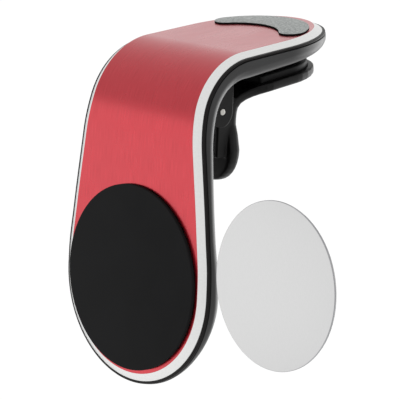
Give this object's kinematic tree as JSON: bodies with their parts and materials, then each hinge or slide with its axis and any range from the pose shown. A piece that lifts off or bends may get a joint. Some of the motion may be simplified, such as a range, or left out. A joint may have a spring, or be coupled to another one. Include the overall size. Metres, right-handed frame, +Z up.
{
  "type": "magnetic vent phone mount",
  "caption": "Curved metal-faced phone mount with a round magnetic pad, a spring clip for an air vent blade under its arm, and a loose round steel plate.",
  "frame": {"origin": "centre of the flat lower face of the upper jaw pad, where the vent blade is gripped", "axes": "+Z up, -Y out of the phone pad towards the driver, +X to the right seen from the driver"},
  "size_m": [0.0861, 0.0497, 0.0768],
  "materials": {
    "front_panel": "brushed, anodised red, bright chamfered edge",
    "inner_frame": "satin black",
    "back_shell": "fine moulded texture",
    "magnet": "nickel plated",
    "magnet_yoke": "zinc plated steel",
    "pad_adhesive": "double-sided adhesive film",
    "magnet_pad": "matte black rubber",
    "arm_pad": "grey speckled foam rubber",
    "clip_bracket": "fine moulded texture",
    "bracket_screw": "zinc plated",
    "upper_jaw_pad": "black silicone",
    "pivot_pin": "bright steel",
    "clip_lever": "moulded black, soft sheen",
    "lower_jaw_pad": "black silicone",
    "torsion_spring": "spring wire",
    "steel_plate": "satin steel",
    "plate_adhesive": "double-sided adhesive film"
  },
  "bodies": {
    "mount_body": {"front_panel": "front_panel", "inner_frame": "inner_frame", "back_shell": "back_shell", "magnet_1": "magnet", "magnet_2": "magnet", "magnet_3": "magnet", "magnet_4": "magnet", "magnet_5": "magnet", "magnet_6": "magnet", "magnet_yoke": "magnet_yoke", "pad_adhesive": "pad_adhesive", "magnet_pad": "magnet_pad", "arm_pad": "arm_pad", "clip_bracket": "clip_bracket", "bracket_screw_1": "bracket_screw", "bracket_screw_2": "bracket_screw", "upper_jaw_pad": "upper_jaw_pad", "pivot_pin": "pivot_pin"},
    "lever": {"clip_lever": "clip_lever", "lower_jaw_pad": "lower_jaw_pad", "torsion_spring": "torsion_spring"},
    "loose_plate": {"steel_plate": "steel_plate", "plate_adhesive": "plate_adhesive"}
  },
  "joints": [
    {"name": "clip_hinge", "type": "hinge", "parent": "mount_body", "child": "lever", "pos_m": [0, -0.01733, -0.00901], "axis": [-1, 0, 0], "range_deg": [0, 22], "stiffness_Nm_per_rad": 0.03, "springref_deg": -28.65, "deforming": ["torsion_spring"]},
    {"name": "plate_slide", "type": "slide", "parent": "mount_body", "child": "loose_plate", "axis": [-0.99, 0, -0.1411], "range_m": [0, 0.04606]}
  ]
}
